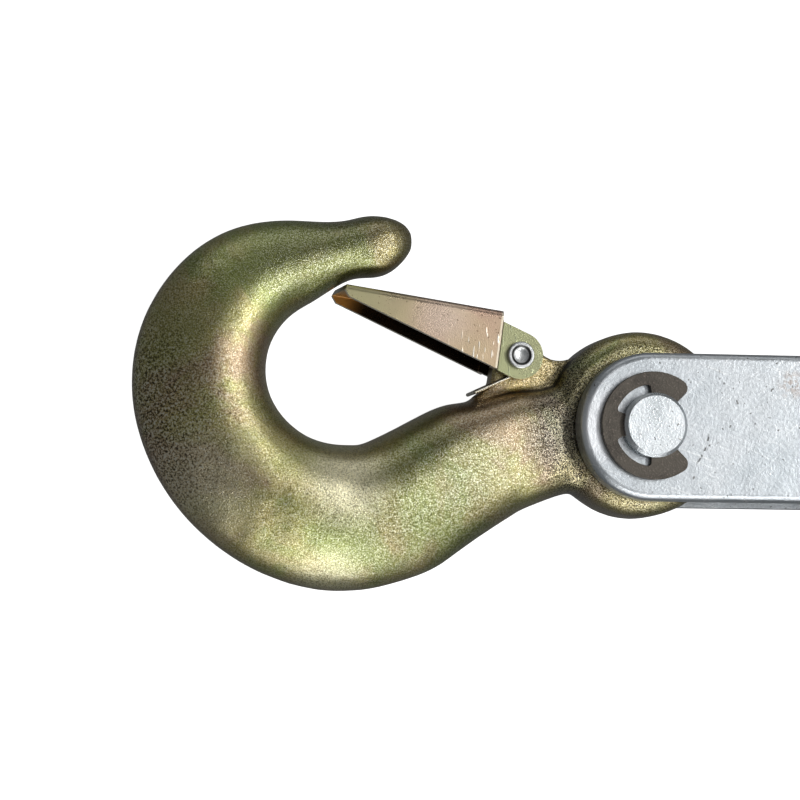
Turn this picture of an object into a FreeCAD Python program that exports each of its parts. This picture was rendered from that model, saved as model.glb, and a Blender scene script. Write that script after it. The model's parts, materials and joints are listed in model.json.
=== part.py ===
import FreeCAD, Part
import math
import os

V = FreeCAD.Vector
ALONG_Z = V(0, 0, 1)

# A lever load binder, lying flat. X runs along the load line, Y across it, Z through its
# thickness. While it is modelled, the link hook's pin stands on the Z axis and Z = 0 is
# the middle plane; at the end everything moves so that the origin is the bottom centre.

# Shared hardware
PIN_R = 7.0
GROOVE_R = 6.0
RUNNING = 0.08
SNUG = 0.03
PIN_END = 16.8
CLIP_R = 11.7
CLIP_T = 1.3
CLIP_BOW = 2.8
CLIP_MOUTH = 45.0
CLIP_SLOT = (96.0, 160.0)

# Flat bar pairs: the two link plates and the stirrup
BAR_W = 32.0
BAR_T = 5.0
BAR_IN = 8.5
BAR_OUT = BAR_IN + BAR_T
BAR_EDGE = 1.6

# Lever
LINK_LENGTH = 120.0
CHEEK_IN = 4.2
CHEEK_OUT = 8.2
CRANK = 60.0
PAST_CENTRE = 7.5
HANDLE_ANGLE = -20.0
HANDLE_W = 25.0
HANDLE_T = 8.0
HANDLE_START = 96.0
HANDLE_END = 296.0
CHEEK_END = 135.0
HANDLE_RIVETS = (108.0, 128.0)
HANDLE_RIVET_R = 4.0
TIE_HOLE_AT = 172.0
TIE_HOLE_R = 4.5
GRIP_START = 196.0
GRIP_WALL = 3.0
STOP_R = 4.0
STOP_AT = 72.0

# Toggle link, swivel bolt and stirrup
TONGUE_W = 18.0
TONGUE_T = 7.8
TONGUE_EYE_R = 13.0
TOGGLE_R = 6.0
BOSS_R = 9.0
BOSS_START = 208.0
WEB_X = 240.0
BOLT_R = 5.0
BOLT_HEAD_R = 8.0
STIRRUP_PIN_X = 292.0

# Hook, in its own frame: the pin at the origin, the bowl on the -X side
EYE_R = 20.2
EYE_T = 16.0
EYE = V(-0.7, 1.1, 0)
EYE_BORE_R = 8.4
BOWL = V(-65.0, 12.2, 0)
LUG_T = 6.0
LUG_R = 4.9
RIVET_R = 2.4
RIVET_HEAD_R = 2.95
RIVET_HEAD_H = 1.2
RIVET_CUP_R = 4.2
LATCH_PIVOT = V(-27.6, 15.4, 0)
LATCH_ANGLE = 155.3
LATCH_SHEET = 1.2
LATCH_OUT = 7.6
LATCH_HEEL = (7.4, 7.1)
LATCH_TIP = (40.9, -2.7)
LATCH_FOOT = 3.7
EAR_OUT = 6.3
EAR_R = 5.1
WIRE_R = 0.4
COIL_R = 3.3


def polar(radius, degrees, centre=V(0, 0, 0)):
    turn = math.radians(degrees)
    return centre + V(radius * math.cos(turn), radius * math.sin(turn), 0)


PIVOT = V(LINK_LENGTH, 0, 0)
TOGGLE = polar(CRANK, 180 + PAST_CENTRE, PIVOT)
STIRRUP_PIN = V(STIRRUP_PIN_X, TOGGLE.y, 0)


def disc(radius, low, high, centre=V(0, 0, 0)):
    return Part.makeCylinder(radius, high - low, V(centre.x, centre.y, low), ALONG_Z)


def rod(radius, start, end):
    return Part.makeCylinder(radius, (end - start).Length, start, end - start)


def slab(points, low, high):
    """A flat piece with straight edges, between two heights."""
    corners = [V(p[0], p[1], low) for p in points]
    face = Part.Face(Part.makePolygon(corners + corners[:1]))
    return face.extrude(V(0, 0, high - low))


def tapered_link(a, ra, b, rb, low, high):
    """The flat piece that a belt round two circles encloses."""
    gap = b - a
    facing = math.degrees(math.atan2(gap.y, gap.x))
    lean = math.degrees(math.acos((ra - rb) / gap.Length))
    sides = [facing + lean, facing - lean]
    points = [
        polar(ra, sides[0], a),
        polar(rb, sides[0], b),
        polar(rb, sides[1], b),
        polar(ra, sides[1], a),
    ]
    body = slab([(p.x, p.y) for p in points], low, high)
    return fused([body, disc(ra, low, high, a), disc(rb, low, high, b)])


def fused(pieces):
    return pieces[0].fuse(pieces[1:]).removeSplitter()


def edges_at(shape, height):
    """The edges that lie flat at one height."""
    found = []
    for edge in shape.Edges:
        box = edge.BoundBox
        if abs(box.ZMin - height) < 1e-3 and abs(box.ZMax - height) < 1e-3:
            found.append(edge)
    return found


def to_rear(shape):
    """The same piece on the other side of the middle plane."""
    return shape.mirror(V(0, 0, 0), ALONG_Z)


# Pins and clips


def grooved_end(low):
    """A pin's length from one height up to its clipped end, with the clip's groove."""
    shaft = disc(PIN_R, low, PIN_END)
    shaft = shaft.makeChamfer(0.7, edges_at(shaft, PIN_END))
    clip_low = BAR_OUT + 0.12
    ring = disc(PIN_R + 1, clip_low, clip_low + CLIP_T + 0.1)
    return shaft.cut(ring.cut(disc(GROOVE_R, clip_low - 1, clip_low + CLIP_T + 1)))


def clevis_pin():
    """A headed pin: the head is at the rear and the clip's groove at the front."""
    head = disc(11.0, -PIN_END, -BAR_OUT - 0.1)
    head = head.makeChamfer(0.8, edges_at(head, -PIN_END))
    return fused([grooved_end(-BAR_OUT - 0.5), head])


def sector(inner_r, outer_r, start, end, low, high):
    """Part of a flat ring, between two angles in degrees."""
    pie = Part.makeCylinder(outer_r, high - low, V(0, 0, low), ALONG_Z, end - start)
    pie.rotate(V(0, 0, 0), ALONG_Z, start)
    if inner_r > 0:
        pie = pie.cut(disc(inner_r, low - 1, high + 1))
    return pie


def upright_edges(shape, reach, tolerance=0.02):
    """The edges along Z that stand at one distance from the Z axis."""
    found = []
    for edge in shape.Edges:
        middle = edge.CenterOfMass
        upright = edge.BoundBox.ZLength > max(edge.BoundBox.XLength, 0.1)
        if upright and abs(math.hypot(middle.x, middle.y) - reach) < tolerance:
            found.append(edge)
    return found


def clip():
    """A retaining ring pressed on from the side: two arms and a prong grip the groove."""
    low = BAR_OUT + 0.17
    high = low + CLIP_T
    bow_in = CLIP_R - CLIP_BOW
    body = sector(GROOVE_R + 0.02, CLIP_R, CLIP_MOUTH, 360 - CLIP_MOUTH, low, high)
    for side in (1, -1):
        ends = sorted((side * CLIP_SLOT[0], side * CLIP_SLOT[1]))
        body = body.cut(sector(0, bow_in, ends[0], ends[1], low - 1, high + 1))
    body = body.makeFillet(1.8, upright_edges(body, CLIP_R))
    return body.makeFillet(0.7, upright_edges(body, bow_in))


# Link plates and lever


def link_plate():
    plate = tapered_link(V(0, 0, 0), BAR_W / 2, PIVOT, BAR_W / 2, BAR_IN, BAR_OUT)
    plate = plate.makeFillet(BAR_EDGE, edges_at(plate, BAR_OUT))
    plate = plate.cut(disc(PIN_R + SNUG, BAR_IN - 1, BAR_OUT + 1))
    return plate.cut(disc(PIN_R + RUNNING, BAR_IN - 1, BAR_OUT + 1, PIVOT))


def along_handle(distance, aside=0.0):
    point = polar(distance, HANDLE_ANGLE, PIVOT)
    return polar(aside, HANDLE_ANGLE + 90, point)


def stop_centre():
    """Just under the closed toggle link's tapering edge."""
    x = along_handle(STOP_AT).x
    share = (x - TOGGLE.x) / (BOSS_START + 4 - TOGGLE.x)
    half = TONGUE_EYE_R + share * (TONGUE_W / 2 - TONGUE_EYE_R)
    return V(x, TOGGLE.y - half - STOP_R - 0.35, 0)


STOP = stop_centre()


def lever_cheek():
    """One bent side plate: the short crank to the toggle pin and the long arm."""
    crank = tapered_link(TOGGLE, 13.0, PIVOT, 16.0, CHEEK_IN, CHEEK_OUT)
    end = along_handle(CHEEK_END)
    arm = tapered_link(PIVOT, 16.0, end, HANDLE_W / 2, CHEEK_IN, CHEEK_OUT)
    cheek = fused([crank, arm])
    cheek = cheek.makeFillet(0.8, edges_at(cheek, CHEEK_OUT))
    holes = [
        disc(TOGGLE_R + SNUG, 0, 20, TOGGLE),
        disc(PIN_R + SNUG, 0, 20, PIVOT),
        disc(STOP_R + SNUG, 0, 20, STOP),
    ]
    for distance in HANDLE_RIVETS:
        holes.append(disc(HANDLE_RIVET_R + SNUG, 0, 20, along_handle(distance)))
    return cheek.cut(holes)


def pivot_stud():
    return grooved_end(CHEEK_IN).translated(PIVOT)


def flush_pin(radius, centre):
    pin = disc(radius, -CHEEK_OUT, CHEEK_OUT, centre)
    rims = edges_at(pin, CHEEK_OUT) + edges_at(pin, -CHEEK_OUT)
    return pin.makeChamfer(0.5, rims)


def handle_bar():
    half = HANDLE_W / 2
    start = [along_handle(HANDLE_START, half), along_handle(HANDLE_START, -half)]
    end = [along_handle(HANDLE_END - half, -half), along_handle(HANDLE_END - half, half)]
    flat = slab([(p.x, p.y) for p in start + end], -HANDLE_T / 2, HANDLE_T / 2)
    tip = disc(half, -HANDLE_T / 2, HANDLE_T / 2, along_handle(HANDLE_END - half))
    bar = fused([flat, tip])
    rims = edges_at(bar, HANDLE_T / 2) + edges_at(bar, -HANDLE_T / 2)
    bar = bar.makeFillet(1.5, rims)
    holes = [disc(TIE_HOLE_R, -10, 10, along_handle(TIE_HOLE_AT))]
    for distance in HANDLE_RIVETS:
        holes.append(disc(HANDLE_RIVET_R + SNUG, -10, 10, along_handle(distance)))
    return bar.cut(holes)


def handle_rivets():
    """Domed rivets through both cheeks and the bar."""
    dome_r = 7.0
    dome_h = 3.2
    ball_r = (dome_r**2 + dome_h**2) / (2 * dome_h)
    rivets = []
    for distance in HANDLE_RIVETS:
        centre = along_handle(distance)
        shank = disc(HANDLE_RIVET_R, -CHEEK_OUT - 1, CHEEK_OUT + 1, centre)
        ball = Part.makeSphere(ball_r, centre + V(0, 0, CHEEK_OUT + 0.02 + dome_h - ball_r))
        dome = ball.common(disc(dome_r + 1, CHEEK_OUT + 0.02, CHEEK_OUT + 9, centre))
        rivets.append(fused([shank, dome, to_rear(dome)]))
    return Part.makeCompound(rivets)


def hand_grip():
    """A dipped sleeve, closed at the end, with shallow finger grooves."""
    half = HANDLE_W / 2
    wide = half + GRIP_WALL
    deep = HANDLE_T / 2 + GRIP_WALL
    last = along_handle(HANDLE_END - half)
    points = [along_handle(GRIP_START, wide), along_handle(GRIP_START, -wide)]
    far = [along_handle(HANDLE_END - half, -wide), along_handle(HANDLE_END - half, wide)]
    sleeve = slab([(p.x, p.y) for p in points + far], -deep, deep)
    sleeve = fused([sleeve, disc(wide, -deep, deep, last)])
    sleeve = sleeve.makeFillet(deep * 0.7, edges_at(sleeve, deep) + edges_at(sleeve, -deep))
    inner_w = half + 0.03
    inner = [along_handle(GRIP_START - 5, inner_w), along_handle(GRIP_START - 5, -inner_w)]
    inner += [
        along_handle(HANDLE_END - half, -inner_w),
        along_handle(HANDLE_END - half, inner_w),
    ]
    inner_t = HANDLE_T / 2 + 0.03
    core = slab([(p.x, p.y) for p in inner], -inner_t, inner_t)
    core = core.fuse(disc(inner_w, -inner_t, inner_t, last))
    grooves = []
    for step in range(4):
        for side in (-1, 1):
            centre = along_handle(GRIP_START + 18 + 20 * step, side * (wide + 23.0))
            grooves.append(disc(24.3, -20, 20, centre))
    return sleeve.cut([core] + grooves)


# Toggle link, swivel and stirrup


def toggle_link():
    """A flat tongue with an eye at the toggle pin and a tapped round boss."""
    end = V(BOSS_START + 4, TOGGLE.y, 0)
    half = TONGUE_T / 2
    tongue = tapered_link(TOGGLE, TONGUE_EYE_R, end, TONGUE_W / 2, -half, half)
    rims = edges_at(tongue, half) + edges_at(tongue, -half)
    tongue = tongue.makeFillet(1.2, rims)
    neck = Part.makeCone(4.0, BOSS_R, 8.0, V(BOSS_START - 8, TOGGLE.y, 0), V(1, 0, 0))
    boss = rod(BOSS_R, V(BOSS_START, TOGGLE.y, 0), V(WEB_X - 0.3, TOGGLE.y, 0))
    body = fused([tongue, neck, boss])
    bolt_hole = rod(BOLT_R + SNUG, V(WEB_X - 26, TOGGLE.y, 0), V(WEB_X, TOGGLE.y, 0))
    pin_hole = disc(1.5 + SNUG, -20, 20, V(WEB_X - 20, TOGGLE.y, 0))
    return body.cut([disc(TOGGLE_R + RUNNING, -20, 20, TOGGLE), bolt_hole, pin_hole])


def swivel_bolt():
    """A round-headed bolt that holds the stirrup and screws into the boss."""
    y = TOGGLE.y
    head_x = WEB_X + BAR_T + 2.2
    shank = rod(BOLT_R, V(WEB_X - 25.5, y, 0), V(head_x + 1, y, 0))
    head = rod(BOLT_HEAD_R, V(head_x, y, 0), V(head_x + 7, y, 0))
    head = head.makeChamfer(0.6, [e for e in head.Edges if e.BoundBox.XMin > head_x + 6.9])
    socket = Part.makePolygon([V(head_x + 3.5, y, 0) + hex_corner(i) for i in range(7)])
    hexagon = Part.Face(socket).extrude(V(10, 0, 0))
    cross = disc(1.5 + SNUG, -20, 20, V(WEB_X - 20, y, 0))
    return fused([shank, head]).cut([hexagon, cross])


def hex_corner(index, across=8.0):
    turn = math.radians(60 * index)
    reach = across / math.sqrt(3)
    return V(0, reach * math.cos(turn), reach * math.sin(turn))


def swivel_washer():
    y = TOGGLE.y
    outer = rod(BOLT_HEAD_R - 1.1, V(WEB_X + BAR_T + 0.1, y, 0), V(WEB_X + BAR_T + 2.1, y, 0))
    return outer.cut(rod(BOLT_R + 0.2, V(WEB_X, y, 0), V(WEB_X + 20, y, 0)))


def lock_pin():
    pin = disc(1.5, -BOSS_R + 0.3, BOSS_R - 0.3, V(WEB_X - 20, TOGGLE.y, 0))
    return pin.cut(disc(0.7, -20, 20, V(WEB_X - 20, TOGGLE.y, 0)))


def stirrup():
    """Flat bar bent into a U: its web takes the swivel bolt, its arms the hook pin."""
    side = BAR_W / 2
    y = TOGGLE.y
    outer = Part.makeBox(
        STIRRUP_PIN_X - WEB_X, BAR_W, 2 * BAR_OUT, V(WEB_X, y - side, -BAR_OUT)
    )
    outer = outer.makeFillet(7.0, upright_corners(outer, WEB_X))
    rounded = disc(side, -BAR_OUT, BAR_OUT, STIRRUP_PIN)
    inner = Part.makeBox(200, 60, 2 * BAR_IN, V(WEB_X + BAR_T, y - 30, -BAR_IN))
    inner = inner.makeFillet(1.4, upright_corners(inner, WEB_X + BAR_T))
    body = fused([outer, rounded])
    rims = edges_at(body, BAR_OUT) + edges_at(body, -BAR_OUT)
    body = body.makeFillet(BAR_EDGE, rims)
    bores = [
        disc(PIN_R + SNUG, -20, 20, STIRRUP_PIN),
        rod(BOLT_R + RUNNING, V(WEB_X - 5, y, 0), V(WEB_X + 20, y, 0)),
    ]
    return body.cut([inner] + bores)


def upright_corners(box, x):
    """The edges along Y at one end of a box."""
    found = []
    for edge in box.Edges:
        limits = edge.BoundBox
        if abs(limits.XMax - x) < 1e-3 and limits.YLength > 1:
            found.append(edge)
    return found


# Hook

# Cross-section from the inner edge (0) to the outer edge (1), with half its thickness as
# a share of the largest: thickest a little inside the middle, then sloping.
BOWL_SECTION = [(0.035, 0.40), (0.12, 0.73), (0.27, 0.95), (0.43, 1.0), (0.68, 0.86)]
BOWL_SECTION += [(0.89, 0.57), (0.98, 0.27)]
NECK_SECTION = [(0.03, 0.45), (0.10, 0.82), (0.25, 1.0), (0.5, 1.0), (0.75, 0.98)]
NECK_SECTION += [(0.90, 0.80), (0.97, 0.44)]


def bowl_station(degrees, inner_r, outer_r):
    return polar(inner_r, degrees, BOWL), polar(outer_r, degrees, BOWL)


def hook_stations():
    """(inner edge, outer edge, thickness, how flat) from inside the eye to the tip."""
    rows = [
        (V(-5, 9.5, 0), V(-4, -11.0, 0), 14.4, 1.0),
        (V(-14.5, 12.0, 0), V(-13.2, -14.2, 0), 15.3, 1.0),
        (V(-25, 8.6, 0), V(-20.5, -15.6, 0), 17.0, 1.0),
        (V(-33.5, 7.1, 0), V(-27.0, -18.2, 0), 18.5, 0.8),
        (V(-42.0, 5.1, 0), V(-33.5, -22.4, 0), 20.5, 0.5),
        (V(-49.5, 2.1, 0), V(-41.5, -28.0, 0), 22.0, 0.2),
    ]
    bowl = [
        (291, 16.2, 47.1, 23.0),
        (270, 16.3, 47.9, 23.5),
        (250, 16.6, 47.8, 24.0),
        (230, 17.0, 47.5, 24.0),
        (210, 17.4, 47.3, 23.5),
        (190, 17.6, 46.9, 23.0),
        (170, 17.3, 45.4, 22.0),
        (150, 16.8, 42.7, 20.5),
        (130, 16.2, 38.9, 18.5),
        (112, 16.2, 34.5, 17.0),
    ]
    for degrees, inner_r, outer_r, thick in bowl:
        inner, outer = bowl_station(degrees, inner_r, outer_r)
        rows.append((inner, outer, thick, 0.0))
    rows += [
        (V(-66.3, 30.3, 0), V(-69.3, 44.1, 0), 16.0, 0.2),
        (V(-60.6, 32.1, 0), V(-62.4, 45.2, 0), 15.2, 0.4),
        (V(-55.7, 33.0, 0), V(-56.5, 45.5, 0), 14.0, 0.6),
        (V(-52.4, 35.6, 0), V(-52.6, 44.2, 0), 10.4, 0.6),
        (V(-50.6, 38.3, 0), V(-50.6, 41.9, 0), 5.0, 0.6),
    ]
    return rows


def section_wire(inner, outer, thick, flatness):
    across = outer - inner
    upper = []
    for bowl, neck in zip(BOWL_SECTION, NECK_SECTION):
        share = bowl[0] + flatness * (neck[0] - bowl[0])
        height = bowl[1] + flatness * (neck[1] - bowl[1])
        upper.append((share, height * thick / 2))
    points = [inner] + [inner + across * s + V(0, 0, h) for s, h in upper] + [outer]
    points += [inner + across * s - V(0, 0, h) for s, h in reversed(upper)]
    curve = Part.BSplineCurve()
    curve.interpolate(Points=points, PeriodicFlag=True)
    return Part.Wire(curve.toShape())


def latch_lug():
    """A flat ear on the neck that carries the latch's rivet."""
    q = LATCH_PIVOT
    half = LUG_T / 2
    left = slab(
        [(-12, 4), (-12, 13), (-16, 16), polar_xy(LUG_R, 45, q), polar_xy(LUG_R, 148, q),
         (-32.9, 12.6), (-33.5, 9.2), (-37.0, 6.6), (-35, 2)],
        -half, half)
    hollow = disc(5.6, -half - 1, half + 1, V(-18.0, 20.5, 0))
    boss = disc(LUG_R, -half, half, q)
    return fused([left.cut(hollow), boss])


def polar_xy(radius, degrees, centre):
    point = polar(radius, degrees, centre)
    return point.x, point.y


def hook():
    """Forged hook: eye, neck, bowl and tip, with the latch lug on the neck. The eye is
    bored wide, and hangs on its pin with all the play on one side."""
    wires = [section_wire(*row) for row in hook_stations()]
    body = Part.makeLoft(wires, True, False)
    eye = disc(EYE_R, -EYE_T / 2, EYE_T / 2, EYE)
    rims = edges_at(eye, EYE_T / 2) + edges_at(eye, -EYE_T / 2)
    eye = eye.makeFillet(4.2, rims)
    whole = body.fuse([eye, latch_lug()])
    bore = disc(EYE_BORE_R, -20, 20, EYE)
    return whole.cut([bore, disc(RIVET_R + SNUG, -20, 20, LATCH_PIVOT)])


# Latch: local s runs from the rivet towards the tip, local t outwards


def latch_point(s, t):
    along = polar(s, LATCH_ANGLE, LATCH_PIVOT)
    return polar(t, LATCH_ANGLE - 90, along)


def latch_slab(points, low, high):
    placed = [latch_point(s, t) for s, t in points]
    return slab([(p.x, p.y) for p in placed], low, high)


def latch():
    """Pressed sheet channel, open towards the bowl, with two set-in ears."""
    heel = LATCH_HEEL
    tip = LATCH_TIP
    foot = (LATCH_FOOT, -EAR_R)
    toe = [(tip[0], tip[1] - 1.4), (tip[0] - 1.4, -EAR_R)]
    profile = [foot, heel, tip] + toe
    outer = latch_slab(profile, -LATCH_OUT, LATCH_OUT)
    top = [e for e in outer.Edges if lies_on(e, latch_point(*heel), latch_point(*tip))]
    outer = outer.makeFillet(1.5, top)
    slope = (heel[1] - tip[1]) / (tip[0] - heel[0])
    web_in = LATCH_SHEET * math.hypot(1, slope)
    hollow = [(s, heel[1] + (heel[0] - s) * slope - web_in) for s in (-20, 60)]
    hollow += [(60, -20), (-20, -20)]
    inside = LATCH_OUT - LATCH_SHEET
    channel = outer.cut(latch_slab(hollow, -inside, inside))
    pieces = [channel]
    ear_in = EAR_OUT - LATCH_SHEET
    root = LATCH_FOOT + LATCH_SHEET
    ear = latch_slab([(0, -EAR_R), (root, -EAR_R), (7.6, 4.6), (6.6, EAR_R), (0, EAR_R)], 0, 1)
    ear = fused([ear, disc(EAR_R, 0, 1, LATCH_PIVOT)])
    joggle = [(LATCH_FOOT, -EAR_R), (root, -EAR_R), (8.0, 5.2), (6.7, 5.2)]
    for side in (-1, 1):
        flat = ear.copy()
        flat = disc_scaled(flat, ear_in, EAR_OUT)
        step = latch_slab(joggle, ear_in, LATCH_OUT)
        if side < 0:
            flat = to_rear(flat)
            step = to_rear(step)
        pieces += [flat, step]
    return fused(pieces).cut(disc(RIVET_R + RUNNING, -20, 20, LATCH_PIVOT))


def disc_scaled(shape, low, high):
    """A unit-thick flat piece, made as thick as the sheet and lifted."""
    matrix = FreeCAD.Matrix()
    matrix.A33 = high - low
    matrix.A34 = low
    return shape.transformGeometry(matrix)


def lies_on(edge, a, b):
    ends = [v.Point for v in edge.Vertexes]
    if len(ends) != 2:
        return False
    flat = [V(p.x, p.y, 0) for p in ends]
    near = [min((p - a).Length, (p - b).Length) for p in flat]
    return max(near) < 1e-3 and (flat[0] - flat[1]).Length > 1


def latch_rivet():
    """A semi-tubular rivet: a rim round a shallow recess on each head."""
    shank = disc(RIVET_R, -EAR_OUT - 0.1, EAR_OUT + 0.1, LATCH_PIVOT)
    top = EAR_OUT + RIVET_HEAD_H
    head = disc(RIVET_HEAD_R, EAR_OUT + 0.05, top, LATCH_PIVOT)
    head = head.makeFillet(0.35, edges_at(head, top))
    cup = Part.makeSphere(RIVET_CUP_R, LATCH_PIVOT + V(0, 0, top + RIVET_CUP_R - 0.65))
    head = head.cut(cup)
    return fused([shank, head, to_rear(head)])


def latch_spring():
    """Double torsion spring: a coil each side of the lug, joined by a bar on the neck."""
    bar = V(-37.0, 7.5, 0)
    reach = bar - LATCH_PIVOT
    towards = math.degrees(math.atan2(reach.y, reach.x))
    leave = towards + math.degrees(math.acos(COIL_R / reach.Length))
    arrive = LATCH_ANGLE - 90
    sweep = (arrive - leave) % 360 + 360
    low = LUG_T / 2 + 0.5
    pitch = 2 * WIRE_R + 0.06
    rise = pitch * sweep / 360
    coil = Part.makeHelix(pitch, rise, COIL_R)
    coil.rotate(V(0, 0, 0), ALONG_Z, leave)
    coil.translate(LATCH_PIVOT + V(0, 0, low))
    start = polar(COIL_R, leave, LATCH_PIVOT) + V(0, 0, low)
    finish = polar(COIL_R, arrive, LATCH_PIVOT) + V(0, 0, low + rise)
    section = Part.Wire(Part.makeCircle(WIRE_R, start, start - (bar + V(0, 0, low))))
    turns = Part.Wire(coil.Edges).makePipeShell([section], True, True)
    foot = V(bar.x, bar.y, low)
    leg_end = latch_point(19.0, 1.9) + V(0, 0, low + rise)
    half = [turns, rod(WIRE_R, start, foot), rod(WIRE_R, finish, leg_end)]
    half += [Part.makeSphere(WIRE_R, p) for p in (foot, leg_end, start, finish)]
    half.append(rod(WIRE_R, V(bar.x, bar.y, 0), foot))
    one = half[0].fuse(half[1:])
    return one.fuse(to_rear(one))


def place_link_end(shape):
    return shape


def place_swivel_end(shape):
    """The same hook turned over end for end, on the stirrup's pin."""
    copy = shape.copy()
    copy.rotate(V(0, 0, 0), V(0, 1, 0), 180)
    return copy.translated(STIRRUP_PIN)


def build():
    nodes = {}
    nodes["front_link_plate"] = link_plate()
    nodes["rear_link_plate"] = to_rear(link_plate())
    nodes["link_hook_pin"] = clevis_pin()
    nodes["link_pin_clip"] = clip()
    nodes["front_lever_cheek"] = lever_cheek()
    nodes["rear_lever_cheek"] = to_rear(lever_cheek())
    nodes["front_pivot_stud"] = pivot_stud()
    nodes["rear_pivot_stud"] = to_rear(pivot_stud())
    front_clip = clip().translated(PIVOT)
    nodes["pivot_stud_clips"] = Part.makeCompound([front_clip, to_rear(front_clip)])
    nodes["toggle_pin"] = flush_pin(TOGGLE_R, TOGGLE)
    nodes["stop_stud"] = flush_pin(STOP_R, STOP)
    nodes["handle_bar"] = handle_bar()
    nodes["handle_rivets"] = handle_rivets()
    nodes["hand_grip"] = hand_grip()
    nodes["toggle_link"] = toggle_link()
    nodes["swivel_bolt"] = swivel_bolt()
    nodes["swivel_washer"] = swivel_washer()
    nodes["lock_pin"] = lock_pin()
    nodes["stirrup"] = stirrup()
    nodes["stirrup_hook_pin"] = clevis_pin().translated(STIRRUP_PIN)
    nodes["stirrup_pin_clip"] = clip().translated(STIRRUP_PIN)
    hook_set = {
        "hook": hook(),
        "latch": latch(),
        "latch_rivet": latch_rivet(),
        "latch_spring": latch_spring(),
    }
    for end, place in (("link", place_link_end), ("swivel", place_swivel_end)):
        for name, shape in hook_set.items():
            nodes[end + "_" + name] = place(shape)
    return nodes


def bottom_centre(nodes):
    """The middle of the whole binder's footprint, at its lowest point."""
    box = Part.makeCompound(list(nodes.values())).optimalBoundingBox(False)
    return V((box.XMin + box.XMax) / 2, (box.YMin + box.YMax) / 2, box.ZMin)


os.makedirs("parts", exist_ok=True)
NODES = build()
ORIGIN = bottom_centre(NODES)
for name, shape in NODES.items():
    shape.translated(-ORIGIN).exportStep("parts/" + name + ".step")
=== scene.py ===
import json
import math

import bmesh
import bpy
from mathutils import Matrix, Vector, noise

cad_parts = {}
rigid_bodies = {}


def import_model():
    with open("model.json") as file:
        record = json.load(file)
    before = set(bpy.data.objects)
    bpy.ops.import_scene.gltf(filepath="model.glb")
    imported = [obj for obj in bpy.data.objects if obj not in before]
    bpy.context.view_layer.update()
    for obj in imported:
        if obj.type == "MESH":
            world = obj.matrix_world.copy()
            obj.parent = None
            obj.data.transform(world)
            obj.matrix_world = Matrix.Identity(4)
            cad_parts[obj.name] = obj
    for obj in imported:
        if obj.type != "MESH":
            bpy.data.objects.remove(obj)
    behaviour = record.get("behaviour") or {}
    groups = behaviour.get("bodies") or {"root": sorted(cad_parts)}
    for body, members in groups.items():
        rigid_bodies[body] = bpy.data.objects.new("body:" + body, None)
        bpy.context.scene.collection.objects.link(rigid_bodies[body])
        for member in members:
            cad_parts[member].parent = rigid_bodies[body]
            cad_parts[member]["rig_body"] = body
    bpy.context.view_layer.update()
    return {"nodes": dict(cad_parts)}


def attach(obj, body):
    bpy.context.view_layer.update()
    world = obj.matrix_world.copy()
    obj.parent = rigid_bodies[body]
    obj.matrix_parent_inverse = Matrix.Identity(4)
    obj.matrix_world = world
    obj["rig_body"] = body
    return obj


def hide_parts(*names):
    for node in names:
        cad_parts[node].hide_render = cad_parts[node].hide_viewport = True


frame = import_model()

NODES = frame["nodes"]
SLOT_OF = {name: node.material_slots[0].material.name for name, node in NODES.items()}

MM = 0.001
PIN_A = Vector((-0.1460, 0.0333865, 0.0168))      # link hook pin, mid-plane
PIN_B = Vector((0.1460, 0.0255565, 0.0168))       # stirrup hook pin, mid-plane
LATCH_A = PIN_A + Vector((-0.0276, 0.0154, 0.0))  # latch rivet of the link hook
LATCH_B = PIN_B + Vector((0.0276, 0.0154, 0.0))   # latch rivet of the swivel hook
EAR_LINE = 5.25   # mm from the rivet to the flange's end, where it passes the rivet
EAR_LEAN = 0.303  # how far that end leans towards the tip, per mm outwards
LATCH_FACE = 7.6  # mm from the mid-plane to a latch's outer face

HOOKS = ("link_hook", "swivel_hook")
LATCHES = ("link_latch", "swivel_latch")
CLIPS = ("link_pin_clip", "stirrup_pin_clip", "pivot_stud_clips")

# Marks on the link hook, placed from pin A in mm
RUGGED_AND_SHADED_AT = Vector((-116, -2, 0))   # the most rugged part of the bowl, where the grain is also painted darker as shade
LUG_AT = Vector((-23, 12, 0))        # the flat lug that carries the latch
CREASE_SHADE_AT = Vector((-24, 11, 0))     # painted shade: the dark line round the lug's foot
LAPS_AT = Vector((-50, -29, 4))      # forging laps under the neck
LUG_HALF = 3.95                      # height of that painted shade line above the mid-plane
# Where its passivation runs pink or green: (place, reach in mm)
PINK_ZONES = [((-100, 8, 6), 24), ((-96, -20, 6), 20), ((-30, 2, 7), 18)]
GREEN_ZONES = [((-94, 30, 6), 22), ((-58, -25, 8), 26), ((-75, 38, 6), 16),
               ((-60, 41, 5), 18), ((-40, -13, 7), 22)]
# Painted shade and painted highlights: where it is darker or paler than elsewhere: (place, reach
# in mm, share of the colour)
PAINTED_SHADE_ZONES = [((-42, -12, 6), 26, 0.52), ((-61, 41, 5), 19, 0.44), ((-78, 34, 8), 16, 0.42),
              ((-60, -26, 8), 17, 0.36), ((-20, -1, 6), 11, 0.6)]
PAINTED_HIGHLIGHT_ZONES = [((-67, -13, 9), 13, 0.8), ((-98, -14, 8), 17, 0.55), ((-70, -34, 4), 11, 0.5)]


# Grain of the blasted surface, in cycles per metre
COARSE_GRAIN = 2700.0
FINE_GRAIN = 5400.0
PITS = 2000.0

# Shaping of the detailed pieces
HOOK_VOXEL = 0.65 * MM
HOOK_ROUNDS = 6
JUNCTION_AT = (15.5, -14.0)     # mm from the pin, towards the bowl and down
JUNCTION_REACH = 9 * MM
JUNCTION_FULL = 1.4             # share at the centre, clipped to 1
JUNCTION_ROUNDS = 60
WAVES = ((70.0, 0.12), (210.0, 0.05))   # cycles per metre and height in mm
WAVES_INSET = 0.06                      # mm, so that the waves stay within the forging
LATCH_EDGE = 0.16 * MM
CLIP_EDGE = 0.12 * MM

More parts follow.
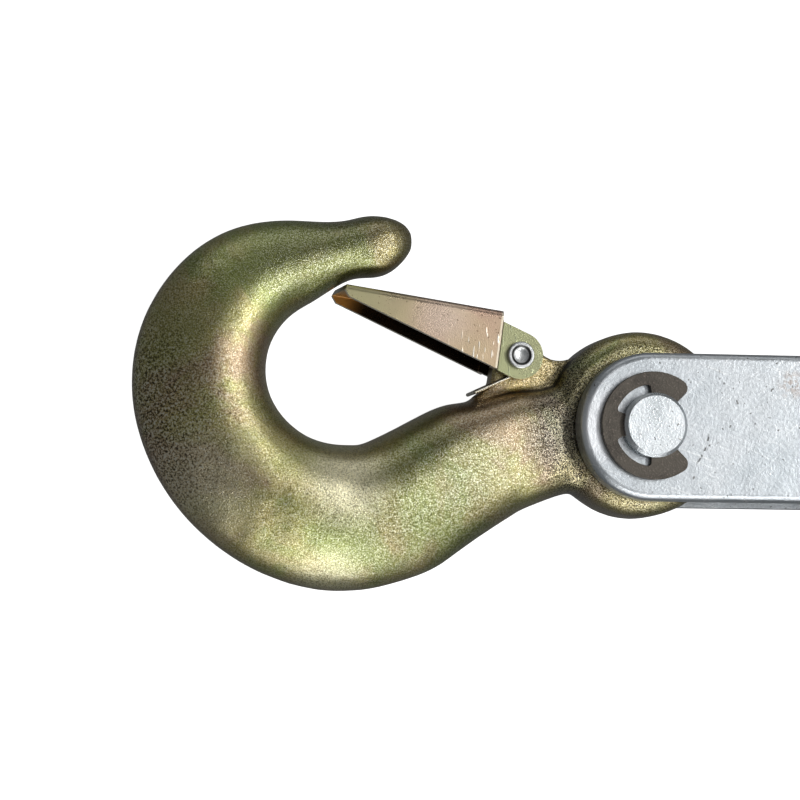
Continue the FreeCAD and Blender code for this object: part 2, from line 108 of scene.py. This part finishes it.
# Studio, in metres and degrees
FLOOR_REACH = 3.0
FLOOR_DROP = 0.0002
CAMERA_SIDE = 12.5              # towards the hook's side
CAMERA_BELOW = 5.0
CAMERA_DISTANCE = 1.1
CAMERA_LENS = 229.2             # mm, on a 36 mm sensor
CAMERA_TARGET = PIN_A + Vector((-0.052845, 0.005812, 0.0))
CAMERA_UP = Vector((0.0009, 1.0, 0.0))
# name, place, aim, (width, height), watts
SOFTBOXES = [
    ("overhead", (0.36, 0.15, 1.5), (-0.05, 0.03, 0.0), (1.0, 1.1), 1.9),
    ("right_strip", (0.74, 0.05, 1.30), (-0.2, 0.03, 0.0), (1.3, 0.24), 8.5),
    ("right_fill", (1.25, 0.05, 0.75), (-0.2, 0.03, 0.0), (1.4, 0.6), 1.2),
    ("front_low", (0.0, -1.4, 0.45), (-0.1, 0.03, 0.0), (1.6, 0.5), 5.0),
    ("back_low", (0.0, 1.4, 0.6), (-0.1, 0.03, 0.0), (1.6, 0.6), 2.2),
    ("front_strip", (0.1, -1.05, 1.05), (-0.2, 0.03, 0.0), (1.0, 0.45), 6.2),
]


# ---------------------------------------------------------------- node graphs

def rgb(r, g, b):
    """A display colour 0-255 as scene-linear RGBA."""
    def linear(v):
        v /= 255.0
        return v / 12.92 if v <= 0.04045 else ((v + 0.055) / 1.055) ** 2.4
    return (linear(r), linear(g), linear(b), 1.0)


class Graph:
    """A material under construction: one Principled shader and what feeds it."""

    def __init__(self, name, **fixed):
        self.mat = bpy.data.materials.new(name)
        self.mat.use_nodes = True
        self.tree = self.mat.node_tree
        self.tree.nodes.clear()
        out = self.tree.nodes.new("ShaderNodeOutputMaterial")
        self.shader = self.tree.nodes.new("ShaderNodeBsdfPrincipled")
        self.tree.links.new(self.shader.outputs[0], out.inputs[0])
        for socket, value in fixed.items():
            self.shader.inputs[socket.replace("_", " ")].default_value = value
        self.coords = self.tree.nodes.new("ShaderNodeTexCoord")
        self.place = self.coords.outputs["Object"]

    def node(self, kind, inputs=(), **settings):
        made = self.tree.nodes.new("ShaderNode" + kind)
        for key, value in settings.items():
            setattr(made, key, value)
        for key, value in dict(inputs).items():
            self.put(made.inputs[key], value)
        return made

    def put(self, socket, value):
        if isinstance(value, bpy.types.NodeSocket):
            self.tree.links.new(value, socket)
        else:
            socket.default_value = value

    def mapped(self, scale=(1, 1, 1), turn=0.0, shift=(0, 0, 0), source=None):
        """The place shifted, then turned about Z, then scaled."""
        moved = self.node("VectorMath", {0: source or self.place, 1: shift}, operation="ADD")
        turned = self.node("VectorRotate", {"Vector": moved.outputs[0], "Angle": turn},
                           rotation_type="Z_AXIS")
        return self.node("VectorMath", {0: turned.outputs[0], 1: scale},
                         operation="MULTIPLY").outputs[0]

    def noise(self, scale, detail=2.0, rough=0.5, distortion=0.0, source=None):
        return self.node("TexNoise", {
            "Vector": source or self.place, "Scale": scale, "Detail": detail,
            "Roughness": rough, "Distortion": distortion}).outputs["Fac"]

    def cells(self, scale):
        return self.node("TexVoronoi", {
            "Vector": self.place, "Scale": scale, "Randomness": 1.0},
            feature="F1").outputs["Distance"]

    def math(self, operation, a, b=0.0):
        return self.node("Math", {0: a, 1: b}, operation=operation).outputs[0]

    def between(self, value, low, high, start=0.0, end=1.0):
        """value mapped from low-high to start-end, smoothly and clamped."""
        return self.node("MapRange", {
            "Value": value, "From Min": low, "From Max": high, "To Min": start,
            "To Max": end}, interpolation_type="SMOOTHSTEP").outputs[0]

    def mix(self, share, a, b):
        made = self.node("Mix", data_type="RGBA", blend_type="MIX")
        colours = [s for s in made.inputs if s.type == "RGBA"]
        self.put(made.inputs[0], share)
        self.put(colours[0], a)
        self.put(colours[1], b)
        return [s for s in made.outputs if s.type == "RGBA"][0]

    def axis(self, index, source=None):
        return self.node("SeparateXYZ", {0: source or self.place}).outputs[index]

    def near(self, centre, inner, outer):
        """1 within inner of a centre, fading to 0 at outer."""
        gap = self.node("VectorMath", {0: self.place, 1: centre}, operation="DISTANCE")
        return self.between(gap.outputs["Value"], inner, outer, 1.0, 0.0)

    def across(self, centre):
        """Distance from a centre in the plane of the plates."""
        gap = self.mapped((1, 1, 0), 0.0, tuple(-v for v in centre))
        return self.node("VectorMath", {0: gap}, operation="LENGTH").outputs["Value"]

    def scratches(self, turn, spread, length, cut, shift=(0, 0, 0)):
        """Thin straight marks at one angle: 1 on a mark, 0 elsewhere."""
        bent = self.node("VectorMath", {
            0: self.place,
            1: self.node("VectorMath", {
                0: self.node("TexNoise", {"Vector": self.place, "Scale": 25.0,
                                          "Detail": 1.0}).outputs["Color"],
                1: (0.004, 0.004, 0.004)}, operation="MULTIPLY").outputs[0]},
            operation="ADD").outputs[0]
        drawn = self.noise(1.0, 1.0, 0.4, source=self.mapped(
            (length, spread, length), turn, shift, bent))
        return self.between(drawn, cut, cut + 0.03)

    def bump(self, height, distance, strength=1.0, under=None):
        inputs = {"Height": height, "Distance": distance, "Strength": strength}
        if under is not None:
            inputs["Normal"] = under
        return self.node("Bump", inputs).outputs[0]

    def done(self, colour, roughness, normal):
        self.put(self.shader.inputs["Base Color"], colour)
        self.put(self.shader.inputs["Roughness"], roughness)
        self.put(self.shader.inputs["Normal"], normal)
        return self.mat


# ------------------------------------------------------------------ materials

def blasted_chromate(name):
    """Blasted forging, zinc plated and yellow passivated: clouded green, gold and pink, with
    painted shade and painted highlights in places.
    """
    g = Graph(name, Metallic=1.0, Coat_Weight=0.5, Coat_Roughness=0.32, Coat_IOR=1.6)
    warp = g.mapped((1, 1, 1), 0.0, (0.013, 0.031, 0.007))
    cloud = g.noise(30.0, 3.0, 0.6, 0.5)
    lean = g.noise(44.0, 4.0, 0.62, 0.8, warp)
    for place, reach in PINK_ZONES:
        zone = g.near(PIN_A + Vector(place) * MM, 4 * MM, reach * MM)
        lean = g.math("ADD", lean, g.math("MULTIPLY", zone, 0.16))
    for place, reach in GREEN_ZONES:
        zone = g.near(PIN_A + Vector(place) * MM, 4 * MM, reach * MM)
        lean = g.math("SUBTRACT", lean, g.math("MULTIPLY", zone, 0.12))
    colour = g.mix(g.between(cloud, 0.38, 0.62), rgb(180, 178, 102), rgb(202, 184, 116))
    colour = g.mix(g.between(lean, 0.52, 0.70, 0.0, 0.7), colour, rgb(188, 150, 124))
    colour = g.mix(g.between(lean, 0.30, 0.46, 0.7, 0.0), colour, rgb(164, 182, 92))
    # painted shade: darker patches of the base colour
    for place, reach, share in PAINTED_SHADE_ZONES:
        zone = g.near(PIN_A + Vector(place) * MM, 3 * MM, reach * MM)
        colour = g.mix(g.math("MULTIPLY", zone, share), colour, rgb(44, 38, 14))
    # painted highlights: paler patches of the base colour
    for place, reach, share in PAINTED_HIGHLIGHT_ZONES:
        zone = g.near(PIN_A + Vector(place) * MM, 3 * MM, reach * MM)
        colour = g.mix(g.math("MULTIPLY", zone, share), colour, rgb(246, 236, 196))
    coarse = g.noise(COARSE_GRAIN, 2.0, 0.6)
    fine = g.noise(FINE_GRAIN, 1.0, 0.6)
    rugged_and_shaded = g.math("MAXIMUM", g.near(PIN_A + RUGGED_AND_SHADED_AT * MM, 12 * MM, 40 * MM),
                    g.math("MULTIPLY", g.between(g.noise(40.0), 0.4, 0.65), 0.4))
    grain = g.math("ADD", g.math("MULTIPLY", coarse, 0.5), g.math("MULTIPLY", fine, 0.5))
    pitted = g.math("SUBTRACT", g.noise(PITS, 3.0, 0.75), grain)
    grain = g.math("ADD", grain, g.math("MULTIPLY", pitted, g.math("MULTIPLY", rugged_and_shaded, 0.8)))
    middle = g.math("ABSOLUTE", g.math("SUBTRACT", g.axis(2), PIN_A.z))
    lug = g.math("MULTIPLY", g.near(PIN_A + LUG_AT * MM, 7 * MM, 10 * MM),
                 g.between(middle, 3.2 * MM, 3.9 * MM, 0.85, 0.0))
    colour = g.mix(lug, colour, rgb(236, 208, 136))
    # dark grain everywhere; where the bowl is rugged it is stronger, partly as painted shade
    dark = g.math("MULTIPLY", g.between(grain, 0.44, 0.50, 1.0, 0.0),
                  g.math("ADD", g.math("MULTIPLY", rugged_and_shaded, 0.52), 0.45))
    light = g.math("MULTIPLY", g.between(grain, 0.53, 0.57),
                   g.math("ADD", g.math("MULTIPLY", rugged_and_shaded, 0.4), 0.35))
    colour = g.mix(dark, colour, rgb(34, 28, 10))
    colour = g.mix(light, colour, rgb(252, 252, 236))
    # painted shade: faces turned away from the plates' plane are browner and darker
    side = g.math("ABSOLUTE", g.axis(2, g.coords.outputs["Normal"]))
    colour = g.mix(g.between(side, 0.02, 0.42, 0.60, 0.0), colour, rgb(98, 70, 36))
    # painted shade in the crease round the lug's foot
    crease_shade = g.math("MULTIPLY", g.near(PIN_A + CREASE_SHADE_AT * MM, 9 * MM, 12 * MM),
                    g.between(g.math("ABSOLUTE", g.math("SUBTRACT", middle, LUG_HALF * MM)),
                              0.25 * MM, 0.8 * MM, 0.85, 0.0))
    colour = g.mix(crease_shade, colour, rgb(24, 20, 12))
    # painted shade, speckled with the grain, round the eye where the plates end
    away = g.across(PIN_A)
    left = g.between(g.axis(0), PIN_A.x - 8 * MM, PIN_A.x - 15 * MM)
    eye_shade_ring = g.math("MAXIMUM", g.between(away, 17 * MM, 21 * MM, 0.8, 0.0),
                  g.math("MULTIPLY", left, g.between(away, 21 * MM, 30 * MM, 1.0, 0.0)))
    colour = g.mix(g.math("MULTIPLY", eye_shade_ring, g.between(grain, 0.44, 0.58, 1.0, 0.1)),
                   colour, rgb(20, 18, 14))
    laps = g.math("MULTIPLY", g.scratches(-0.14, 1900.0, 90.0, 0.68),
                  g.near(PIN_A + LAPS_AT * MM, 5 * MM, 17 * MM))
    colour = g.mix(g.math("MULTIPLY", laps, 0.7), colour, rgb(60, 54, 34))
    rough = g.between(grain, 0.35, 0.65, 0.40, 0.27)
    normal = g.bump(g.noise(150.0, 2.0, 0.5), 0.0003)
    normal = g.bump(laps, -0.00005, 1.0, normal)
    depth = g.math("ADD", g.math("MULTIPLY", rugged_and_shaded, 0.00007), 0.00007)
    normal = g.bump(grain, depth, 1.0, normal)
    return g.done(colour, rough, normal)


def latch_point(along, reach):
    """A point on a latch's face, from its rivet, reach towards the tip."""
    return Vector((reach * math.cos(along), reach * math.sin(along), LATCH_FACE)) * MM


def pressed_chromate(name, pivot, along, mirrored):
    """Yellow passivated sheet: beige and pink, greener at the tip and on the ears, with rubs
    across its length, painted highlights on its face, at the set-in ear and along its bends, a
    painted shadow line at the set-in ear, and painted shade inside, dark brown turning orange at
    the tip."""
    g = Graph(name, Metallic=1.0, Coat_Weight=0.3, Coat_Roughness=0.25)
    local = g.mapped((1, 1, 1), -along, tuple(-v for v in pivot))
    reach = g.axis(0, local)
    out = g.axis(1, local)
    if not mirrored:
        out = g.math("MULTIPLY", out, -1.0)
    past_ear = g.math("SUBTRACT", reach, g.math(
        "ADD", g.math("MULTIPLY", out, EAR_LEAN), EAR_LINE * MM))
    cloud = g.noise(60.0, 2.0, 0.5, 0.5)
    colour = g.mix(g.between(cloud, 0.36, 0.64), rgb(206, 172, 152), rgb(202, 180, 148))
    colour = g.mix(g.between(reach, 14 * MM, 38 * MM, 0.0, 0.8), colour, rgb(168, 166, 126))
    # painted highlight: a paler patch midway along the face
    face_highlight = g.near(pivot + latch_point(along, 19.0), 1 * MM, 9 * MM)
    colour = g.mix(g.math("MULTIPLY", face_highlight, 0.45), colour, rgb(240, 222, 204))
    colour = g.mix(g.between(out, 3 * MM, 7 * MM, 0.0, 0.35), colour, rgb(196, 170, 150))
    streak = g.noise(1.0, 1.0, 0.5, source=g.mapped((1900, 300, 300), 0.04))
    worn = g.math("MULTIPLY", g.between(streak, 0.64, 0.72),
                  g.between(reach, 18 * MM, 10 * MM))
    colour = g.mix(g.math("MULTIPLY", worn, 0.8), colour, rgb(255, 250, 238))
    fine = g.noise(3200.0, 2.0, 0.6)
    specks = g.noise(1900.0, 1.0, 0.5)
    colour = g.mix(g.between(specks, 0.69, 0.74, 0.0, 0.7), colour, rgb(84, 66, 44))
    ear = g.between(past_ear, 0.0, -0.15 * MM)
    colour = g.mix(g.math("MULTIPLY", ear, 0.85), colour, rgb(168, 176, 132))
    # painted shadow: a dark line at the set-in ear
    ear_shadow_line = g.between(g.math("ABSOLUTE", g.math("ADD", past_ear, 0.30 * MM)),
                     0.18 * MM, 0.34 * MM, 0.9, 0.0)
    colour = g.mix(ear_shadow_line, colour, rgb(44, 32, 24))
    # painted highlight: a pale line where the ear bends out
    ear_bend_highlight = g.between(g.math("ABSOLUTE", g.math("SUBTRACT", past_ear, 0.25 * MM)),
                     0.12 * MM, 0.3 * MM, 0.8, 0.0)
    colour = g.mix(ear_bend_highlight, colour, rgb(255, 244, 220))
    height = g.math("SUBTRACT", g.axis(2), pivot.z)
    inward = g.math("MULTIPLY", height, g.axis(2, g.coords.outputs["Normal"]))
    # painted shade inside the channel: dark brown, turning orange towards the tip
    channel_shade = g.between(inward, -1 * MM, -4 * MM)
    brown_patch = g.mix(g.between(reach, 33 * MM, 39 * MM), rgb(58, 42, 26), rgb(222, 158, 84))
    colour = g.mix(channel_shade, colour, brown_patch)
    towards = (math.cos(along - math.pi / 2), math.sin(along - math.pi / 2), 0.0)
    if mirrored:
        towards = tuple(-v for v in towards)
    facing = g.node("VectorMath", {0: g.coords.outputs["Normal"], 1: towards},
                    operation="DOT_PRODUCT").outputs["Value"]
    # painted highlight: a pale line along the flanges' bends
    bend_highlight = g.math("MULTIPLY", g.between(facing, -0.45, -0.8),
                 g.between(g.math("ABSOLUTE", height), 5.9 * MM, 6.3 * MM))
    colour = g.mix(g.math("MULTIPLY", bend_highlight, 0.9), colour, rgb(255, 248, 226))
    rough = g.math("ADD", g.between(cloud, 0.35, 0.65, 0.26, 0.36),
                   g.between(fine, 0.35, 0.65, -0.03, 0.05))
    normal = g.bump(cloud, 0.0002)
    normal = g.bump(worn, 0.00003, 1.0, normal)
    normal = g.bump(fine, 0.00004, 1.0, normal)
    return g.done(colour, rough, normal)


def headed_steel(name):
    """Rivet steel: bright rolled rims, with painted shade as a dark ring for the groove inside
    them.
    """
    g = Graph(name, Metallic=1.0)
    fine = g.noise(3000.0, 2.0, 0.6)
    cloud = g.noise(300.0, 2.0, 0.5)
    away = g.math("MINIMUM", g.across(LATCH_A), g.across(LATCH_B))
    colour = g.mix(g.between(cloud, 0.35, 0.65), rgb(196, 198, 198), rgb(222, 223, 222))
    colour = g.mix(g.between(fine, 0.58, 0.72, 0.0, 0.6), colour, rgb(96, 94, 90))
    # painted shade: a dark ring for the groove inside the rolled rim
    groove_shade = g.between(g.math("ABSOLUTE", g.math("SUBTRACT", away, 1.95 * MM)),
                       0.15 * MM, 0.38 * MM, 0.92, 0.0)
    colour = g.mix(groove_shade, colour, rgb(36, 34, 32))
    rough = g.between(cloud, 0.3, 0.7, 0.26, 0.40)
    return g.done(colour, rough, g.bump(fine, 0.00005))


def local_marks(g, colour):
    """The link hook's plate: a painted highlight at its end, a scuffed arc beside the clip and a
    faint stain.
    """
    face = PIN_A + Vector((0, 0, 13.5)) * MM
    # painted highlight: a paler end
    end = g.near(face + Vector((-12, 0, 0)) * MM, 3 * MM, 10 * MM)
    colour = g.mix(g.math("MULTIPLY", end, 0.6), colour, rgb(252, 253, 255))
    rag = g.between(g.noise(900.0, 2.0, 0.6), 0.45, 0.58)
    arc = g.between(g.math("ABSOLUTE", g.math("SUBTRACT", g.across(PIN_A), 12.6 * MM)),
                    0.08 * MM, 0.3 * MM, 1.0, 0.0)
    arc = g.math("MULTIPLY", arc, g.near(face + Vector((11.6, -4.6, 0)) * MM, 2 * MM, 5.5 * MM))
    colour = g.mix(g.math("MULTIPLY", g.math("MULTIPLY", arc, rag), 0.9), colour,
                   rgb(74, 72, 70))
    brown_patch = g.near(face + Vector((31.5, 9.5, 0)) * MM, 0.5 * MM, 4.5 * MM)
    return g.mix(g.math("MULTIPLY", g.math("MULTIPLY", brown_patch, rag), 0.5), colour,
                 rgb(150, 124, 104))


def bright_zinc(name, tone, dull=0.36, grain=1700.0, lines=0.62, marked=False):
    """Bright zinc on rolled or drawn steel: small dark specks and faint handling scratches."""
    g = Graph(name, Metallic=1.0)
    r, gr, b = tone
    cloud = g.noise(55.0, 3.0, 0.6, 0.5)
    fine = g.noise(grain, 2.0, 0.65)
    specks = g.noise(grain * 0.62, 1.0, 0.5, source=g.mapped((1, 1, 1), 0.7, (0.3, 0.1, 0.2)))
    colour = g.mix(g.between(cloud, 0.34, 0.66), rgb(r - 9, gr - 7, b - 6), rgb(r, gr, b))
    colour = g.mix(g.between(fine, 0.34, 0.66, 0.22, 0.0), colour, rgb(r - 70, gr - 68, b - 66))
    colour = g.mix(g.between(specks, 0.71, 0.76, 0.0, 0.75), colour, rgb(74, 72, 66))
    one = g.scratches(0.35, 2600.0, 70.0, lines + 0.05)
    two = g.scratches(-0.75, 2900.0, 90.0, lines + 0.07, (0.21, 0.13, 0.0))
    marks = g.math("MAXIMUM", one, two)
    colour = g.mix(g.math("MULTIPLY", marks, 0.3), colour, rgb(252, 252, 250))
    if marked:
        colour = local_marks(g, colour)
    rough = g.math("ADD", g.between(cloud, 0.3, 0.7, dull - 0.05, dull + 0.06),
                   g.between(fine, 0.35, 0.65, 0.05, -0.04))
    normal = g.bump(g.noise(140.0, 2.0, 0.5), 0.00012)
    normal = g.bump(fine, 0.00006, 1.0, normal)
    return g.done(colour, rough, normal)


def spring_steel(name):
    """Phosphated spring steel strip: dark brown-grey with paler rubs."""
    g = Graph(name, Metallic=0.65)
    cloud = g.noise(180.0, 3.0, 0.6, 0.5)
    fine = g.noise(2400.0, 2.0, 0.6)
    colour = g.mix(g.between(cloud, 0.35, 0.65), rgb(74, 69, 63), rgb(98, 92, 84))
    colour = g.mix(g.between(fine, 0.56, 0.72, 0.0, 0.5), colour, rgb(138, 126, 116))
    rough = g.between(cloud, 0.3, 0.7, 0.38, 0.56)
    normal = g.bump(fine, 0.00006)
    return g.done(colour, rough, normal)


def drawn_wire(name):
    """Bright drawn spring wire with faint draw lines."""
    g = Graph(name, Metallic=1.0)
    fine = g.noise(5200.0, 2.0, 0.6)
    cloud = g.noise(420.0, 2.0, 0.5)
    colour = g.mix(g.between(cloud, 0.35, 0.65), rgb(196, 190, 172), rgb(222, 218, 206))
    colour = g.mix(g.between(fine, 0.60, 0.74, 0.0, 0.6), colour, rgb(96, 88, 76))
    rough = g.between(cloud, 0.3, 0.7, 0.22, 0.34)
    return g.done(colour, rough, g.bump(fine, 0.00003))


def dipped_vinyl(name):
    """Soft dark vinyl dip with a pebbled skin and a few scuffs."""
    g = Graph(name, Metallic=0.0, Specular_IOR_Level=0.5)
    cloud = g.noise(60.0, 3.0, 0.55, 0.4)
    pebble = g.cells(1500.0)
    scuff = g.scratches(0.5, 1500.0, 60.0, 0.66)
    colour = g.mix(g.between(cloud, 0.35, 0.65), rgb(28, 29, 31), rgb(40, 41, 43))
    colour = g.mix(g.math("MULTIPLY", scuff, 0.35), colour, rgb(96, 97, 98))
    rough = g.math("ADD", g.between(cloud, 0.3, 0.7, 0.40, 0.52), g.math("MULTIPLY", scuff, 0.15))
    normal = g.bump(g.between(pebble, 0.0, 0.5), 0.00005)
    normal = g.bump(cloud, 0.0006, 1.0, normal)
    return g.done(colour, rough, normal)


MATERIALS = {
    "hook_chromate": blasted_chromate("hook_chromate_finish"),
    "plate_zinc": bright_zinc("plate_zinc_finish", (210, 214, 217), marked=True),
    "pin_zinc": bright_zinc("pin_zinc_finish", (230, 234, 236), 0.30, 2400.0),
    "cheek_zinc": bright_zinc("cheek_zinc_finish", (204, 208, 211), 0.40),
    "toggle_zinc": bright_zinc("toggle_zinc_finish", (198, 202, 204), 0.42, 1300.0),
    "bolt_steel": bright_zinc("bolt_steel_finish", (186, 189, 190), 0.32, 2200.0),
    "rivet_steel": headed_steel("rivet_steel_finish"),
    "spring_wire": drawn_wire("spring_wire_finish"),
    "clip_spring_steel": spring_steel("clip_spring_steel_finish"),
    "grip_vinyl": dipped_vinyl("grip_vinyl_finish"),
}
LATCH_FINISH = {
    "link_latch": pressed_chromate("link_latch_finish", LATCH_A, math.radians(155.3), False),
    "swivel_latch": pressed_chromate("swivel_latch_finish", LATCH_B, math.radians(24.7), True),
}


# --------------------------------------------------------------------- pieces

def copied(node, name):
    """A separate mesh object with the node's welded vertices, in place."""
    mesh = NODES[node].data.copy()
    mesh.materials.clear()
    made = bpy.data.objects.new(name, mesh)
    bpy.context.scene.collection.objects.link(made)
    work = bmesh.new()
    work.from_mesh(mesh)
    bmesh.ops.remove_doubles(work, verts=work.verts, dist=2e-6)
    work.to_mesh(mesh)
    work.free()
    if mesh.attributes.get("custom_normal"):
        mesh.attributes.remove(mesh.attributes["custom_normal"])
    return made


def apply_modifiers(piece):
    """The evaluated shape becomes the piece's own mesh."""
    bpy.context.view_layer.update()
    shown = piece.evaluated_get(bpy.context.evaluated_depsgraph_get())
    mesh = bpy.data.meshes.new_from_object(shown)
    old = piece.data
    piece.modifiers.clear()
    piece.data = mesh
    bpy.data.meshes.remove(old)


def stand_in_for(piece, node, finish):
    """The piece takes the node's place, body, slot and finish."""
    piece.data.materials.clear()
    piece.data.materials.append(finish)
    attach(piece, NODES[node]["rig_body"])
    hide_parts(node)


def remeshed(node, name, voxel, rounds):
    """The node's solid as an even skin of small faces, with its edges worn soft."""
    piece = copied(node, name)
    skin = piece.modifiers.new("skin", "REMESH")
    skin.mode = "VOXEL"
    skin.voxel_size = voxel
    soft = piece.modifiers.new("soft", "SMOOTH")
    soft.iterations = rounds
    soft.factor = 0.5
    apply_modifiers(piece)
    piece.data.polygons.foreach_set("use_smooth", [True] * len(piece.data.polygons))
    return piece


def ease_junction(piece, node):
    """Fills the sharp valleys where the neck runs into the eye, as a forging die does."""
    pin, side = (PIN_A, -1.0) if node == "link_hook" else (PIN_B, 1.0)
    centre = pin + Vector((side * JUNCTION_AT[0], JUNCTION_AT[1], 0.0)) * MM
    near = piece.vertex_groups.new(name="junction")
    for vertex in piece.data.vertices:
        share = JUNCTION_FULL - (vertex.co - centre).length / JUNCTION_REACH
        if share > 0.0:
            near.add([vertex.index], min(1.0, share), "REPLACE")
    soft = piece.modifiers.new("junction", "SMOOTH")
    soft.iterations = JUNCTION_ROUNDS
    soft.factor = 0.5
    soft.vertex_group = "junction"
    apply_modifiers(piece)


def forged_hook(node, name):
    """The hook with the slight waviness of a hand-finished forging."""
    piece = remeshed(node, name, HOOK_VOXEL, HOOK_ROUNDS)
    ease_junction(piece, node)
    vertices = piece.data.vertices
    places = [vertex.co.copy() for vertex in vertices]
    normals = [vertex.normal.copy() for vertex in vertices]
    moved = []
    for place, outward in zip(places, normals):
        swell = sum(noise.noise(place * pitch) * height for pitch, height in WAVES)
        moved.extend(place + outward * (swell - WAVES_INSET) * MM)
    vertices.foreach_set("co", moved)
    piece.data.update()
    stand_in_for(piece, node, MATERIALS["hook_chromate"])


def eased(node, name, width, finish):
    """The node with its sharp edges broken, as pressing and tumbling leave them."""
    piece = copied(node, name)
    work = bmesh.new()
    work.from_mesh(piece.data)
    bmesh.ops.dissolve_limit(work, angle_limit=math.radians(1.0), verts=work.verts,
                             edges=work.edges)
    for face in work.faces:
        face.smooth = True
    work.to_mesh(piece.data)
    work.free()
    round_edges = piece.modifiers.new("edges", "BEVEL")
    round_edges.width = width
    round_edges.segments = 2
    round_edges.limit_method = "ANGLE"
    round_edges.angle_limit = math.radians(40.0)
    round_edges.harden_normals = True
    apply_modifiers(piece)
    stand_in_for(piece, node, finish)


for hook in HOOKS:
    forged_hook(hook, "forged_" + hook)
for latch in LATCHES:
    eased(latch, "pressed_" + latch, LATCH_EDGE, LATCH_FINISH[latch])
for clip in CLIPS:
    eased(clip, "blanked_" + clip, CLIP_EDGE, MATERIALS["clip_spring_steel"])
for node_name, carried in NODES.items():
    if node_name not in HOOKS + LATCHES + CLIPS:
        for index in range(len(carried.material_slots)):
            carried.material_slots[index].material = MATERIALS[SLOT_OF[node_name]]


# -------------------------------------------------------- floor, light, camera

def studio_floor():
    """A plain pale floor, partly self-lit."""
    mesh = bpy.data.meshes.new("studio_floor")
    work = bmesh.new()
    bmesh.ops.create_grid(work, x_segments=1, y_segments=1, size=FLOOR_REACH)
    work.to_mesh(mesh)
    work.free()
    floor = bpy.data.objects.new("studio_floor", mesh)
    floor.location = (0.0, 0.0, -FLOOR_DROP)
    bpy.context.scene.collection.objects.link(floor)
    g = Graph("studio_floor_finish", Roughness=0.9, Specular_IOR_Level=0.1,
              Base_Color=(0.86, 0.86, 0.86, 1.0), Emission_Color=(1.0, 1.0, 1.0, 1.0),
              Emission_Strength=0.92)
    mesh.materials.append(g.mat)
    floor.visible_glossy = False


def softbox(name, place, aim, size, watts):
    lamp = bpy.data.lights.new(name, "AREA")
    lamp.shape = "RECTANGLE"
    lamp.size, lamp.size_y = size
    lamp.energy = watts
    holder = bpy.data.objects.new(name, lamp)
    holder.location = place
    holder.rotation_euler = (Vector(aim) - Vector(place)).to_track_quat("-Z", "Y").to_euler()
    holder.visible_camera = False
    bpy.context.scene.collection.objects.link(holder)


def camera():
    """Nearly square to the plates, a little from the hook's side and from below."""
    side = math.radians(CAMERA_SIDE)
    low = math.radians(CAMERA_BELOW)
    away = Vector((-math.sin(side) * math.cos(low), -math.sin(low),
                   math.cos(side) * math.cos(low)))
    place = CAMERA_TARGET + away * CAMERA_DISTANCE
    right = CAMERA_UP.cross(away).normalized()
    top = away.cross(right)
    lens = bpy.data.cameras.new("camera")
    lens.sensor_width = 36.0
    lens.lens = CAMERA_LENS
    lens.clip_start = 0.01
    holder = bpy.data.objects.new("camera", lens)
    holder.matrix_world = Matrix((
        (right.x, top.x, away.x, place.x),
        (right.y, top.y, away.y, place.y),
        (right.z, top.z, away.z, place.z),
        (0.0, 0.0, 0.0, 1.0)))
    bpy.context.scene.collection.objects.link(holder)
    bpy.context.scene.camera = holder


studio_floor()
for row in SOFTBOXES:
    softbox(*row)
world = bpy.data.worlds.new("studio")
world.use_nodes = True
world.node_tree.nodes["Background"].inputs[0].default_value = (0.13, 0.135, 0.14, 1.0)
world.node_tree.nodes["Background"].inputs[1].default_value = 1.0
bpy.context.scene.world = world
bpy.context.scene.view_settings.view_transform = "Standard"
camera()
